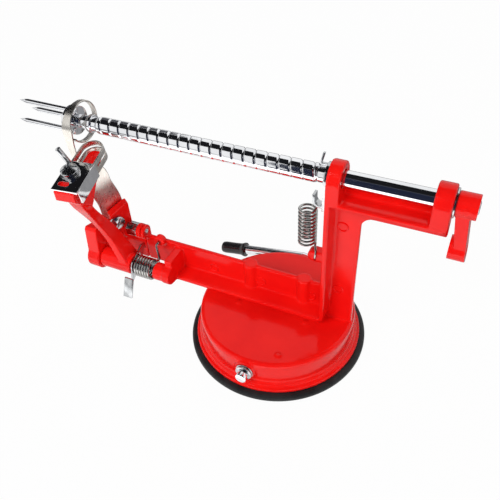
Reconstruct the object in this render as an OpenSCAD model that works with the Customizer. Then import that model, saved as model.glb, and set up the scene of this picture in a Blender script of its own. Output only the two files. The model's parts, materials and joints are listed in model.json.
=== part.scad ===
// Hand-cranked potato peeler, corer and spiral slicer on a suction base.
// +X runs from the fork to the crank, +Z is up, and the origin is under the cup on the table.

/* [Base] */
// Radius of the rubber suction pad
pad_r = 50; // [48:1:60]
// Thickness of the rubber pad
pad_h = 4.2; // [3.5:0.1:5]
// Radius of the cup's wall
cup_r = 43.4; // [41:0.2:45]
// Height of the cup's top above the table
cup_top = 23; // [23:0.5:26]
// Thickness of the cup's wall and top
cup_wall = 2; // [1.6:0.1:2.2]
// Radius of the cup's foot flange
foot_r = 46.8; // [46.5:0.1:47.5]
// Thickness of the cup's foot flange
foot_t = 2.6; // [2:0.1:4]

/* [Frame] */
// Height of the feed screw's axis above the table
axis_z = 117.3; // [114:0.5:130]
// Radius of the round tops of the two screw bearings
bearing_r = 8; // [7:0.2:9]
// Front face of the casting's web
web_y = 2.2; // [1.5:0.1:3]
// Thickness of the casting's web
web_t = 2.6; // [2:0.1:4]
// Left face of the column and of the front bearing
col_x = 27; // [25:0.5:30]
// Width of the column's web
col_w = 15; // [12:0.5:20]
// Thickness of the column's left flange
flange_t = 2.4; // [2:0.1:4]
// Width of the front bearing along the screw
front_bearing_w = 6.4; // [5:0.2:8]
// Width of the rear bearing along the screw
rear_bearing_w = 7.8; // [6:0.2:10]
// Length of the bearing rail from the column's left face to the rear bearing's end
rail_len = 53.4; // [48:0.2:60]
// Depth of the rail's shelf below the screw axis
rail_drop = 11.4; // [11:0.2:13]
// Height of the rail's web
rail_h = 17; // [14:0.5:20]
// Height of the lower arm's shelf above the cup's top
arm_lift = 3.9; // [3:0.1:5]
// Height of the lower arm's web above its shelf's underside
arm_h = 18; // [16:0.5:20]
// Left end of the lower arm
arm_end = -84.9; // [-86:0.1:-84.5]
// Diameter of the two round posts in the lower arm's web
post_d = 8; // [6:0.2:10]

/* [Feed screw] */
// Radius of the thread's crest
screw_r = 4.45; // [4:0.05:5]
// Depth of the thread's groove
thread_depth = 0.5; // [0.3:0.05:0.6]
// Travel of the screw for one turn
lead = 5.7; // [5:0.1:7]
// Left end of the thread
thread_x0 = -96.4; // [-98:0.1:-95]
// Right end of the thread
thread_x1 = 21; // [15:0.5:22]
// Radius of the plain tail
tail_r = 3.97; // [3.6:0.01:4]
// Radius of the fork's hub
fork_r = 7.6; // [7.4:0.1:8.4]
// Length of the fork's hub
fork_len = 5; // [4:0.1:7]
// Radius of the circle that the prongs stand on
prong_circle = 5.8; // [5:0.1:5.9]
// Length of the prongs beyond the hub
prong_len = 31.2; // [25:0.1:36]
// Diameter of a prong
prong_d = 2.5; // [2:0.1:3]

/* [Crank] */
// Length of the crank from the screw axis to the handle's eye
crank_len = 23.5; // [22:0.5:32]
// Thickness of the crank's flat arm
crank_t = 5.8; // [4:0.1:6]
// Radius of the crank's hub
crank_hub_r = 5.6; // [5.4:0.1:6.8]
// Length of the crank's hub
crank_hub_len = 8.7; // [8:0.1:10]
// Radius of the handle's hole in the crank's eye
eye_r = 2.6; // [2:0.1:3]
// Outer radius of the crank's eye
eye_boss_r = 5.5; // [5:0.1:6.5]
// Thickness of the loose washer between crank and bearing
crank_washer_t = 0.9; // [0.6:0.1:1.5]

/* [Release plate] */
// Thickness of the release plate
plate_t = 1.4; // [1:0.1:1.6]
// Lift of the release plate
plate_lift = 2; // [1.5:0.1:2.2]
// Outer diameter of the release spring
spring_od = 9.5; // [8:0.1:11]
// Wire diameter of the release spring
spring_wire = 1.2; // [0.8:0.05:1.25]
// Coils of the release spring
spring_coils = 10; // [8:1:12]

/* [Peeler] */
// Distance of the arm's pivot in front of the screw axis
pivot_y = -11; // [-11.5:0.1:-10.5]
// Height of the arm's pivot above the table
pivot_z = 32.8; // [32.5:0.1:34]
// Radius of the pivot pin
pivot_r = 2; // [1.8:0.1:2.5]
// Radius of the peel arm's hub
arm_hub_r = 6.3; // [5.5:0.1:6.6]
// Width of the peel arm
peel_w = 11.6; // [11:0.1:12]
// Tilt of the blade's seat on the peel arm
seat_tilt = 12; // [8:0.5:14]
// Thickness of the peel blade
blade_t = 0.8; // [0.6:0.1:1]
// Reach of the peel blade beyond its clamp
blade_reach = 17.4; // [14:0.1:17.6]
// Thickness of the blade clamp
clamp_t = 1.2; // [1:0.1:1.5]
// Length of the blade clamp along the arm's seat
clamp_len = 20; // [18:0.5:22]
// Wire diameter of the arm spring
arm_wire = 1.3; // [1:0.05:1.35]
// Outer diameter of the arm spring
arm_spring_od = 12.6; // [11.5:0.1:13]
// Coils of the arm spring
arm_coils = 6.5; // [5.5:1:6.5]

/* [Slicer] */
// Outer radius of the coring ring
ring_r = 11; // [10.5:0.1:12]
// Width of the coring ring along the screw
ring_w = 6; // [4:0.1:7]
// Thickness of the slicer blade
slicer_t = 0.8; // [0.6:0.1:1]
// Right end of the coring ring
ring_x = -106.2; // [-107:0.1:-106]
// Turn of the blade's seat about the vertical
seat_turn = 53; // [48:1:58]

/* [Suction lever] */
// Radius of the lever rod
rod_r = 3; // [2.6:0.1:3.2]
// Height of the lever rod's axis above the table
rod_z = 16.2; // [15.5:0.1:16.3]
// Offset of the rod's eccentric neck
neck_off = 1; // [0.6:0.05:1]
// Gap between the lever and the cup's boss
lever_gap = 0.4; // [0.3:0.1:2]
// Outer radius of the vinyl grip
grip_r = 3.8; // [3.6:0.1:4.5]
// Length of the vinyl grip
grip_len = 17.5; // [14:0.5:22]

/* [Clearances] */
// Radial clearance of turning fits
run_gap = 0.06; // [0.03:0.01:0.09]
// Gap between pieces that pass each other
pass_gap = 0.3; // [0.2:0.05:0.4]

/* [Hidden] */
$fn = 48;

red = [0.85, 0.06, 0.05];
chrome = [0.86, 0.87, 0.9];
steel = [0.72, 0.73, 0.75];
black = [0.06, 0.06, 0.06];

// Base
edge_r = 2;
cup_in_r = cup_r - cup_wall;
cup_in_top = cup_top - cup_wall;
step_out = 1.4;
step_t = 1.4;
cove_r = 1.6;
pad_chamfer = 0.8;
rod_boss_r = 6;
rod_washer_r = 4.8;
rod_boss_out = 1.1;
rod_boss_in = 8;
pip_r = 1.3;
pip_h = 0.5;
pip_places = [[19.6, -7.4], [14.2, -33.4], [-20.4, -7.4]];

// Frame
rail_end = col_x + rail_len;
rear_bearing_x = rail_end - rear_bearing_w;
shelf_z = axis_z - rail_drop;
shelf_t = 1.8;
rail_top = shelf_z + 7;
rail_low = rail_top - rail_h;
col_end = col_x + col_w;
arm_z = cup_top + arm_lift;
arm_top = arm_z + arm_h;
arm_shelf_t = 2.5;
web_foot_l = -40;
rail_fillet = 6;
rail_corner_r = 2.4;
foot_corner_r = 4;
arm_fillet = 4;
bore_r = screw_r + run_gap;
post_x = [-17, 14.5];
wall_x = -64.5;
wall_w = 4.5;
wall_top = 42.5;
boss_r = 5.2;
boss_len = 6.5;
boss_end = wall_x - boss_len;
leg_boss_x = -73.5;
leg_boss_z = arm_top + 0.5;
leg_boss_r = 3.4;
leg_boss_out = 3;
spring_lug_z = 63.4;
spring_lug_h = 6.3;
spring_lug_w = 5.6;

// Holder bolt and its lug
bolt_y = 2;
bolt_z = arm_top + 3.2;
bolt_r = 2;
lug_r = 4.4;
lug_w = 2.3;
ear_w = 2.7;
bolt_head_r = 4.3;
bolt_head_h = 6;
bolt_washer_t = 0.8;
ear_x = arm_end - pass_gap - ear_w;
bolt_end = arm_end + lug_w - 0.4;

// Suction mechanism
neck_r = 1.9;
neck_len = 5;
hook_slack = 0.4;
hook_bar = 1.2;
hook_t = 3;
hook_half_w = 7;
stem_foot_r = 15;
stem_foot_t = 1.6;
neck_z = rod_z - neck_off;
washer_t = 0.9;
clip_t = 0.8;
clip_r = 4.5;
clip_bore = 2.35;
clip_groove = clip_t + 0.2;
boss_face = cup_r + rod_boss_out;
clip_y = -(boss_face + washer_t + 0.2);
rod_front = clip_y - clip_groove - 3.6;
lever_y = boss_face + rod_r + lever_gap;
lever_tip = [-57.5, lever_y, 6];
lever_start = [0, lever_y, rod_z];
elbow_r = rod_r + 0.15;

// Feed screw
neck_rod_r = 3.5;
fork_x = thread_x0 - 13.4;
fork_left = fork_x - fork_len;
collar_x = thread_x0 - 6;
collar_w = 2.4;
collar_r = 4.6;
spigot_r = 2.5;
tail_end = rail_end + 0.05 + crank_washer_t;
crank_spigot_r = 3.2;
crank_x = tail_end + 0.05;
crank_end = crank_x + crank_hub_len;
rivet_r = 1.9;
rivet_h = 0.8;
prong_tip = 5;
prong_turn = 97;
relief_r = 3.2;
relief_w = 0.8;
thread_sides = 14;
thread_rings = 8;

// Crank
crank_arm_x = crank_x + 0.1;
crank_lean = 3.8;
crank_low_t = 4.9;
eye_x = crank_x + 0.8;
eye_z = axis_z - crank_len;
crank_arm_w = 9.4;
crank_washer_r = 6.5;
cross_pin_r = 1.2;
cross_pin_x = crank_x + crank_hub_len / 2;

// Release plate and spring
plate_x = col_x - pass_gap - plate_t;
plate_half_w = 6.2;
tip_half_w = 0.7;
plate_hole_r = screw_r + 0.2;
plate_low = shelf_z - 4.8;
plate_top = axis_z + plate_half_w - 0.6;
tab_z = axis_z - 19.6;
tab_t = 1.2;
tab_half_w = 2.2;
tab_r = 3.6;
tab_h = 6.8;
spring_y = 2;
hook_x = 20.2;
spring_x = hook_x - (spring_od - spring_wire) / 2;
tip_run = 5.2;
tip_rise = 6.6;
tip_lean = 1.6;
tip_t = 1.3;
hook_mid_x = plate_x + 0.5 - tab_r;
spring_low = spring_lug_z + spring_lug_h + pass_gap;
spring_high = tab_z - pass_gap;
spring_end = 2.4;
spring_steps = 8;
spring_sides = 6;

// Peeler
leg_x = -114;
leg_w = 7.8;
hub_x = leg_x + leg_w + pass_gap;
latch_x = -85.3;
hub_w = latch_x - pass_gap - hub_x;
peel_x = hub_x + 0.4;
seat_y = -16;
seat_z = pivot_z + 70.1;
seat_twist = 6;
clamp_gap = 0.1;
leg_l = peel_x - clamp_gap - blade_t;
leg_r = peel_x + peel_w + clamp_gap;
blade_mid = (leg_l + leg_r + blade_t) / 2;
bow_r = (leg_r + blade_t - leg_l) / 2;
blade_h = 7.5;
head_h = 11.2;
finger_rise = 0.34;
finger_drop = 4.6;
peel_way = 1.8;
mouth_z = -4.6;
mouth_h = 1.5;
flange_drop = 7.4;
clamp_x0 = leg_l - clamp_gap;
clamp_x1 = leg_r + blade_t + clamp_gap + clamp_t;
clamp_screw_x = peel_x + 4.1;
clamp_screw_y = -8;
clamp_screw_r = 2;
clamp_head_r = 4.5;
clamp_head_h = 3;
clamp_washer_r = 5;
clamp_washer_t = 0.7;
clamp_slot_y = -15.6;
clamp_slot_r = 1.5;
clamp_slot_half = 1.6;
depth_r = 1.4;
depth_foot = [peel_x + 0.5, -2.1];
depth_len = 10;
depth_lean = 16;
latch_t = 1;
latch_hub_r = 5.4;
latch_hook = [0, 40];
latch_tail = [-17.1, 26];
latch_tab_w = 6;
latch_tab_low = 15;
latch_tab_out = 5;
pin_left = leg_x - 2.4;
pin_right = wall_x + wall_w - 1.6;
pin_clip_x = leg_x - 1.1;
pin_clip_t = 0.8;
pin_clip_r = 4;
arm_spring_x0 = -83.2;
arm_spring_x1 = -72.05;

// Slicer
holder_t = 4.8;
holder_z0 = 27;
holder_z1 = 43.4;
leg_front = -16;
leg_z0 = 24;
leg_top = 55;
leg_end_r = 7.8;
seat_c = [-103.6, 4.9];
seat_half_w = 6;
seat_t = 5.2;
seat_front = -seat_t - slicer_t / 2 - 0.02;
strip_foot = 48.5;
slicer_screw_z = strip_foot + 3.8;
slicer_screw_x = -2.8;
slot_w = 13.8;
seat_low = slicer_screw_z + 5.7;
seat_high = slicer_screw_z + 10.7;
slicer_screw_r = 2;
slicer_head_r = 4.4;
slicer_head_h = 2.6;

// The link's route: height, left and right side, front and back
link_foot_x = hub_x + hub_w - 0.2;
link_route = [
    [[pivot_z + 0.2, link_foot_x - 4.8, link_foot_x, pivot_y - 5.7, pivot_y + 6]],
    [[pivot_z + 6.4, link_foot_x - 8.3, link_foot_x - 2.6, pivot_y - 4.9, pivot_y + 6.3]],
    [[pivot_z + 13.2, link_foot_x - 11.9, link_foot_x - 6.8, pivot_y - 3.9, pivot_y + 5.9]],
    [[pivot_z + 20.2, link_foot_x - 14.3, link_foot_x - 9.6, pivot_y - 4.3, pivot_y + 4.7]],
    [[pivot_z + 29.2, link_foot_x - 16.6, link_foot_x - 12.1, pivot_y - 6.5, pivot_y + 1.2]],
    [[pivot_z + 38.2, peel_x + 1.3, peel_x + 7.2, pivot_y - 10.2, pivot_y - 4]],
    [[pivot_z + 47.2, peel_x + 0.3, peel_x + 8.6, pivot_y - 14.8, pivot_y - 9]],
    [[pivot_z + 54, peel_x + 0.3, peel_x + 8.8, pivot_y - 17.6, pivot_y - 11]]
];
link_steps = 4;

// The strip's route: middle point, width direction in plan (degrees from +X) and width
ring_mid = ring_x - ring_w / 2;
ring_end_w = 3;
strip_w = 4.6;
strip_x = ring_mid - 2;
strip_foot_x = seat_c[0] + slicer_screw_x * cos(seat_turn);
strip_foot_y = seat_c[1] + slicer_screw_x * sin(seat_turn);
strip_route = [
    [[strip_foot_x, strip_foot_y, strip_foot], seat_turn, 12.5],
    [[strip_foot_x, strip_foot_y, seat_high + 0.6], seat_turn, 13.8],
    [[-105.4, -1.9, 78], 50, 13.8],
    [[-106.5, -3.4, 88], 38, 12.6],
    [[strip_x, -7, axis_z - 21.8], 8, strip_w],
    [[strip_x, -8.8, axis_z - 12], 2, strip_w],
    [[ring_mid, slicer_t / 2 - ring_r, axis_z], 0, ring_w]
];
strip_steps = 4;
roll_step = 10;
roll_end = 330;

function unit(v) = v / norm(v);

// A point a share t of the way from p1 to p2 on a smooth curve through four values
function smooth_at(p0, p1, p2, p3, t) =
    0.5 * (2 * p1 + (p2 - p0) * t + (2 * p0 - 5 * p1 + 4 * p2 - p3) * t * t
           + (3 * p1 - p0 - 3 * p2 + p3) * t * t * t);

// Value k of the route, counted past its ends by repeating them
function route_at(route, i, k) = route[max(0, min(len(route) - 1, i))][k];

function route_value(route, u, k) =
    let (i = min(floor(u), len(route) - 2))
    smooth_at(route_at(route, i - 1, k), route_at(route, i, k), route_at(route, i + 1, k),
              route_at(route, i + 2, k), u - i);

// Sides of rings joined into one closed skin of triangles
function skin_faces(rings, sides) = concat(
    [for (i = [0 : rings - 2], j = [0 : sides - 1], k = [0, 1])
        let (a = i * sides + j, b = i * sides + (j + 1) % sides)
        k == 0 ? [a, b + sides, b] : [a, a + sides, b + sides]],
    [for (j = [1 : sides - 2]) [0, j, j + 1]],
    [for (j = [1 : sides - 2]) let (e = (rings - 1) * sides) [e, e + j + 1, e + j]]);

// Rings of a tube along a path, each turned on from the one before
function tube_frame(path) =
    let (n = len(path))
    [for (i = [0 : n - 1]) unit(path[min(i + 1, n - 1)] - path[max(i - 1, 0)])];

function carry(v, t) = unit(v - t * (v * t));

function tube_sides(tangents, first) =
    [for (i = 0, v = carry(first, tangents[0]); i < len(tangents);
          i = i + 1, v = i < len(tangents) ? carry(v, tangents[i]) : v) v];

function tube_points(path, r, sides, first) =
    let (t = tube_frame(path), n = tube_sides(t, first))
    [for (i = [0 : len(path) - 1], j = [0 : sides - 1])
        let (a = 360 * j / sides)
        path[i] + r * (n[i] * cos(a) + cross(t[i], n[i]) * sin(a))];

module tube(path, r, sides, first) {
    polyhedron(tube_points(path, r, sides, first), skin_faces(len(path), sides), convexity = 20);
}

// Least gap between stretches of a tube that are more than half a turn apart
function self_gap(path, r, apart) =
    min([for (i = [0 : len(path) - 1], j = [i + apart : 1 : len(path) - 1]) norm(path[i] - path[j])])
    - 2 * r;

// A flat outline drawn in X and Z, standing between y and y + t
module upright(y, t) {
    translate([0, y + t, 0]) rotate([90, 0, 0]) linear_extrude(t) children();
}

// A flat outline drawn in Y and Z, standing between x and x + w
module along_x(x, w) {
    translate([x, 0, 0]) rotate([90, 0, 90]) linear_extrude(w) children();
}

module rod_x(x, w, r, y = 0, z = axis_z) {
    translate([x, y, z]) rotate([0, 90, 0]) cylinder(h = w, r = r);
}

module rod_y(y0, y1, r, x = 0, z = rod_z) {
    translate([x, y0, z]) rotate([-90, 0, 0]) cylinder(h = y1 - y0, r = r);
}

module strut(a, b, r) {
    d = b - a;
    translate(a) rotate([0, acos(d[2] / norm(d)), atan2(d[1], d[0])]) cylinder(h = norm(d), r = r);
}

module inner_fillet(x, z, r, turn) {
    translate([x, z]) rotate(turn) difference() {
        translate([-0.01, -0.01]) square(r);
        translate([r, r]) circle(r = r);
    }
}

// Casting: cup

module cup_profile() {
    wall_h = cup_top - pad_h;
    difference() {
        union() {
            translate([0, pad_h]) square([foot_r, foot_t]);
            translate([0, pad_h]) square([cup_r + step_out, foot_t + step_t]);
            translate([0, pad_h]) square([cup_r, wall_h - edge_r]);
            translate([0, pad_h]) square([cup_r - edge_r, wall_h]);
            translate([cup_r - edge_r, cup_top - edge_r]) circle(r = edge_r);
            inner_fillet(cup_r, pad_h + foot_t + step_t, cove_r, 0);
        }
        translate([-1, pad_h - 1]) square([cup_in_r + 1, cup_in_top - pad_h + 1]);
    }
}

module cup() {
    rotate_extrude($fn = 96) intersection() {
        cup_profile();
        square([foot_r + 1, cup_top + 1]);
    }
    for (p = pip_places) translate([p[0], p[1], cup_top - 0.5]) cylinder(h = pip_h + 0.5, r = pip_r);
}

module rod_bosses() {
    rod_y(-boss_face, -(cup_r - rod_boss_in), rod_boss_r);
    rod_y(cup_r - rod_boss_in, boss_face, rod_boss_r);
}

// Casting: column, rail and lower arm

module web_outline() {
    translate([col_x, cup_top - 1]) square([col_w, rail_top - cup_top + 1]);
    translate([col_x, rail_low]) square([rail_end - col_x, rail_h]);
    translate([arm_end, arm_z]) square([col_end - arm_end, arm_h]);
    translate([web_foot_l, cup_top - 1]) square([col_end - web_foot_l, arm_lift + 2]);
    inner_fillet(col_end, rail_low, rail_fillet, -90);
    inner_fillet(col_x, arm_top, arm_fillet, 90);
}

module bearing_outline() {
    translate([0, axis_z]) circle(r = bearing_r);
    translate([-bearing_r, shelf_z]) square([2 * bearing_r, rail_drop]);
}

module wall_outline() {
    translate([pivot_y, pivot_z]) circle(r = arm_hub_r - 0.6);
    translate([pivot_y, arm_z]) square([web_y - pivot_y + 1, wall_top - arm_z]);
}

module spring_lug_outline() {
    translate([hook_x, spring_lug_z + spring_lug_h / 2]) circle(d = spring_lug_h);
    translate([hook_x, spring_lug_z]) square([col_x + 1 - hook_x, spring_lug_h]);
}

module lug_outline(low) {
    translate([bolt_y, bolt_z]) circle(r = lug_r);
    translate([web_y, low]) square([bolt_y + lug_r - web_y, bolt_z - low]);
}

module frame_casting() {
    color(red) difference() {
        union() {
            cup();
            rod_bosses();
            upright(web_y, web_t) web_outline();
            translate([col_x, -bearing_r, arm_z])
                cube([flange_t, bearing_r + web_y + 1, shelf_z - arm_z + 1]);
            along_x(col_x, front_bearing_w) bearing_outline();
            along_x(rear_bearing_x, rear_bearing_w) bearing_outline();
            translate([col_x, -bearing_r, shelf_z])
                cube([rail_len, bearing_r + web_y + 1, shelf_t]);
            translate([wall_x, -bearing_r, arm_z])
                cube([col_x + flange_t - wall_x, bearing_r + web_y + 1, arm_shelf_t]);
            for (x = post_x) translate([x, web_y + web_t / 2, cup_top - 1])
                cylinder(h = arm_top - cup_top + 1.6, d = post_d);
            along_x(wall_x, wall_w) wall_outline();
            rod_x(boss_end, boss_len + 1, boss_r, pivot_y, pivot_z);
            rod_y(web_y - leg_boss_out, web_y + 1, leg_boss_r, leg_boss_x, leg_boss_z);
            along_x(arm_end, lug_w) lug_outline(arm_top - 4);
            upright(spring_y - spring_lug_w / 2, spring_lug_w) spring_lug_outline();
        }
        upright(-bearing_r - 1, bearing_r + 1 + web_y) {
            inner_fillet(rail_end, shelf_z, rail_corner_r, 90);
            inner_fillet(col_x + flange_t, arm_z, foot_corner_r, 90);
        }
        rod_x(col_x - 1, rail_len + 2, bore_r);
        rod_y(-boss_face - 1, boss_face + 1, rod_r + run_gap);
        rod_x(boss_end - 1, pin_right + pass_gap - boss_end + 1, pivot_r + run_gap, pivot_y, pivot_z);
        rod_x(arm_end - 1, lug_w + 2, bolt_r + run_gap, bolt_y, bolt_z);
        rod_y(web_y - leg_boss_out - 1, web_y + web_t + 1, arm_wire / 2 + pass_gap, leg_boss_x, leg_boss_z);
    }
}

// Suction base

module suction_pad() {
    color(black) rotate_extrude($fn = 96) polygon([
        [0, 0], [pad_r - pad_chamfer, 0], [pad_r, pad_chamfer], [pad_r, pad_h - pad_chamfer],
        [pad_r - pad_chamfer, pad_h], [0, pad_h]]);
}

module hook_outline() {
    foot = pad_h + stem_foot_t - 0.5;
    open_h = neck_r + hook_slack;
    difference() {
        translate([-hook_half_w, foot]) square([2 * hook_half_w, neck_z + open_h + hook_bar - foot]);
        translate([-hook_half_w - 1, neck_z - open_h])
            square([hook_half_w + 1 + neck_r + neck_off + hook_slack, 2 * open_h]);
    }
}

module pad_stem() {
    color(steel) {
        translate([0, 0, pad_h]) cylinder(h = stem_foot_t, r = stem_foot_r);
        upright(-hook_t / 2, hook_t) hook_outline();
    }
}

module lever_rod() {
    color(chrome) difference() {
        union() {
            rod_y(rod_front, -neck_len / 2, rod_r);
            rod_y(-neck_len / 2 - 0.5, neck_len / 2 + 0.5, neck_r, 0, neck_z);
            rod_y(neck_len / 2, lever_y, rod_r);
            translate(lever_start) sphere(r = elbow_r);
            strut(lever_start, lever_tip, rod_r);
        }
        difference() {
            rod_y(clip_y - clip_groove, clip_y, rod_r + 1);
            rod_y(clip_y - clip_groove - 1, clip_y + 1, clip_bore - 0.05);
        }
    }
}

module lever_grip() {
    along = unit(lever_tip - lever_start);
    end = lever_tip + along * 1.6;
    start = end - along * grip_len;
    color(black) difference() {
        union() {
            strut(start, end, grip_r);
            strut(start, start + along * 2.4, grip_r + 0.8);
        }
        strut(start - along, lever_tip + along * 0.1, rod_r + 0.02);
    }
}

module rod_washer() {
    color(steel) difference() {
        rod_y(-boss_face - 0.05 - washer_t, -boss_face - 0.05, rod_washer_r);
        rod_y(-boss_face - 3, -boss_face + 1, rod_r + run_gap);
    }
}

module rod_clip() {
    color(steel) difference() {
        rod_y(clip_y - clip_t - 0.1, clip_y - 0.1, clip_r);
        rod_y(clip_y - clip_t - 1, clip_y + 1, clip_bore);
        translate([-clip_bore * 0.8, clip_y - clip_t - 1, rod_z - clip_r - 1])
            cube([clip_bore * 1.6, clip_t + 2, clip_r + 1]);
    }
}

// Feed screw, fork and crank

// Depth of the groove at a share of one turn: wide lands with a narrow rounded groove
function groove(s) = s < 0.375 ? thread_depth * (1 - cos(360 * s / 0.375)) / 2 : 0;

function thread_r(x, a) = let (s = x / lead - a / 360) screw_r - groove(s - floor(s));

function thread_ring(x) =
    [for (j = [0 : thread_sides - 1])
        let (a = 360 * j / thread_sides, r = thread_r(x, a))
        [x, r * cos(a), axis_z + r * sin(a)]];

module thread() {
    steps = round((thread_x1 - thread_x0) / lead * thread_rings);
    rings = [for (i = [0 : steps]) thread_ring(thread_x0 + (thread_x1 - thread_x0) * i / steps)];
    polyhedron([for (ring = rings, p = ring) p], skin_faces(steps + 1, thread_sides), convexity = 30);
}

module feed_screw() {
    color(chrome) {
        rod_x(fork_left + 1, fork_x - fork_left + 1, spigot_r);
        rod_x(fork_x + rivet_h + 0.1, thread_x0 - fork_x - rivet_h + 0.4, neck_rod_r);
        rod_x(collar_x, collar_w, collar_r);
        thread();
        rod_x(thread_x1 - 1, relief_w + 1.5, relief_r);
        rod_x(thread_x1 + relief_w, tail_end - thread_x1 - relief_w, tail_r);
        difference() {
            rod_x(tail_end - 0.5, crank_end + 0.9 - tail_end, crank_spigot_r);
            rod_y(-crank_hub_r, crank_hub_r, cross_pin_r + 0.02, cross_pin_x, axis_z);
        }
    }
}

module at_prongs() {
    for (k = [0 : 2]) rotate([120 * k + prong_turn, 0, 0]) translate([0, prong_circle, 0]) children();
}

module fork_plate() {
    color(steel) difference() {
        rod_x(fork_left, fork_len, fork_r);
        rod_x(fork_left - 1, fork_len + 2, spigot_r + 0.02);
        translate([0, 0, axis_z]) at_prongs() rod_x(fork_left - 1, fork_len + 2, prong_d / 2 + 0.02, 0, 0);
    }
}

module fork_prongs() {
    tip_x = fork_left - prong_len;
    color(chrome) translate([0, 0, axis_z]) at_prongs() {
        rod_x(tip_x + prong_tip, fork_x - tip_x - prong_tip + rivet_h, prong_d / 2, 0, 0);
        translate([tip_x, 0, 0]) rotate([0, 90, 0]) cylinder(h = prong_tip, r1 = 0.15, r2 = prong_d / 2);
        rod_x(fork_x + 0.02, rivet_h, rivet_r, 0, 0);
    }
}

module crank_washer() {
    color(steel) difference() {
        rod_x(rail_end + 0.05, crank_washer_t - 0.05, crank_washer_r);
        rod_x(rail_end - 1, crank_washer_t + 2, tail_r + run_gap);
    }
}

module crank_outline() {
    translate([0, axis_z]) circle(r = crank_hub_r);
    translate([0, eye_z]) circle(r = eye_boss_r);
    translate([-crank_arm_w / 2, eye_z]) square([crank_arm_w, crank_len]);
}

// The arm in X and Z, which leans away from the rail as it goes down
module crank_side() {
    low = eye_z - eye_boss_r - 1;
    polygon([[crank_arm_x, axis_z], [crank_arm_x + crank_t, axis_z],
             [crank_arm_x + crank_lean + crank_low_t, low], [crank_arm_x + crank_lean, low]]);
}

module crank_arm() {
    color(red) difference() {
        union() {
            rod_x(crank_x, crank_hub_len, crank_hub_r);
            intersection() {
                along_x(crank_x, crank_hub_len + 1) crank_outline();
                upright(-crank_arm_w, 2 * crank_arm_w) crank_side();
            }
            rod_x(eye_x, crank_lean + 1.5, eye_boss_r, 0, eye_z);
        }
        rod_x(crank_x - 1, crank_hub_len + 2, crank_spigot_r + 0.02);
        rod_x(eye_x - 1, crank_hub_len + 2, eye_r, 0, eye_z);
        rod_y(-crank_hub_r - 1, crank_hub_r + 1, cross_pin_r + 0.02, cross_pin_x, axis_z);
    }
}

module crank_pin() {
    color(steel) rod_y(-crank_hub_r + 0.3, crank_hub_r - 0.3, cross_pin_r, cross_pin_x, axis_z);
}

// Release plate and its spring

module plate_outline() {
    difference() {
        union() {
            translate([-plate_half_w, plate_low]) square([2 * plate_half_w, axis_z - plate_low]);
            translate([0, axis_z]) circle(r = plate_half_w);
        }
        translate([0, axis_z]) circle(r = plate_hole_r);
        translate([0, axis_z - plate_lift]) circle(r = plate_hole_r);
        translate([-plate_hole_r, axis_z - plate_lift]) square([2 * plate_hole_r, plate_lift]);
    }
}

// The finger tip in X and Z: over the thread to the left, then up
module tip_outline() {
    back = plate_x + plate_t;
    foot = axis_z + plate_hole_r + 0.1;
    polygon([[back, foot], [back, foot + tip_t], [back - tip_run + tip_t, foot + tip_t],
             [back - tip_run + tip_lean + 1, foot + tip_rise],
             [back - tip_run + tip_lean, foot + tip_rise], [back - tip_run, foot]]);
}

// The hook in X and Z: from the plate down, round and up again
module hook_side(r) {
    translate([hook_mid_x, tab_z + tab_r]) circle(r = r);
    translate([hook_mid_x - r, tab_z + tab_r]) square([2 * r, tab_h - tab_r + (tab_r - r) / 2]);
}

module release_plate() {
    color(steel) {
        along_x(plate_x, plate_t) plate_outline();
        upright(-tip_half_w, 2 * tip_half_w) tip_outline();
        upright(spring_y - tab_half_w, 2 * tab_half_w) difference() {
            hook_side(tab_r);
            hook_side(tab_r - tab_t);
        }
    }
}

// Path of the release spring: the coils, with both ends straight at the coil's right side
spring_mid_r = (spring_od - spring_wire) / 2;
spring_body_low = spring_low + spring_end;
spring_body_h = spring_high - spring_end - spring_body_low;
spring_pitch = spring_body_h / spring_coils;

function coil_point(turn, z) =
    [spring_x + spring_mid_r * cos(360 * turn), spring_y + spring_mid_r * sin(360 * turn), z];

spring_path = concat(
    [coil_point(0, spring_low), coil_point(0, spring_low + spring_end - 1)],
    [for (i = [1 : round(spring_coils * spring_steps) - 1])
        coil_point(i / spring_steps, spring_body_low + spring_pitch * i / spring_steps)],
    [coil_point(0, spring_high - spring_end + 1), coil_point(0, spring_high)]);

module release_spring() {
    color(steel) tube(spring_path, spring_wire / 2, spring_sides, [1, 0, 0]);
}

// Peel arm

// The blade's seat, tilted up to the back and turned about the clamp's screw
module at_seat() {
    translate([clamp_screw_x, seat_y, seat_z]) rotate([seat_tilt, 0, 0]) translate([0, clamp_screw_y, 0])
        rotate(seat_twist) translate([-clamp_screw_x, -clamp_screw_y, 0]) children();
}

// Corners of the link's section at route value u, which leans to the left as it rises from the hub
function link_ring(u) =
    let (v = route_value(link_route, u, 0))
    [[v[1], v[3], v[0]], [v[2], v[3], v[0]], [v[2], v[4], v[0]], [v[1], v[4], v[0]]];

module link() {
    steps = (len(link_route) - 1) * link_steps;
    rings = [for (i = [0 : steps]) link_ring(i / link_steps)];
    polyhedron([for (ring = rings, p = ring) p], skin_faces(len(rings), 4), convexity = 4);
}

// The head under the clamp, drawn in the seat's own Y and Z, whose underside runs up to the finger's end
module head_outline(back) {
    polygon([[-20.4, 0], [-21.6, -5.2], [-18.3, -10], [-12.1, -18.5], [-2.4, -head_h],
             [back, finger_rise * (back + 2.4) - head_h], [back, 0]]);
}

// The arm's finger inside the blade's bow, with the peel's way between them
module finger_outline() {
    intersection() {
        bow_outline(bow_r - blade_t - peel_way);
        translate([leg_l, -3]) square([2 * bow_r, blade_reach]);
    }
}

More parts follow.
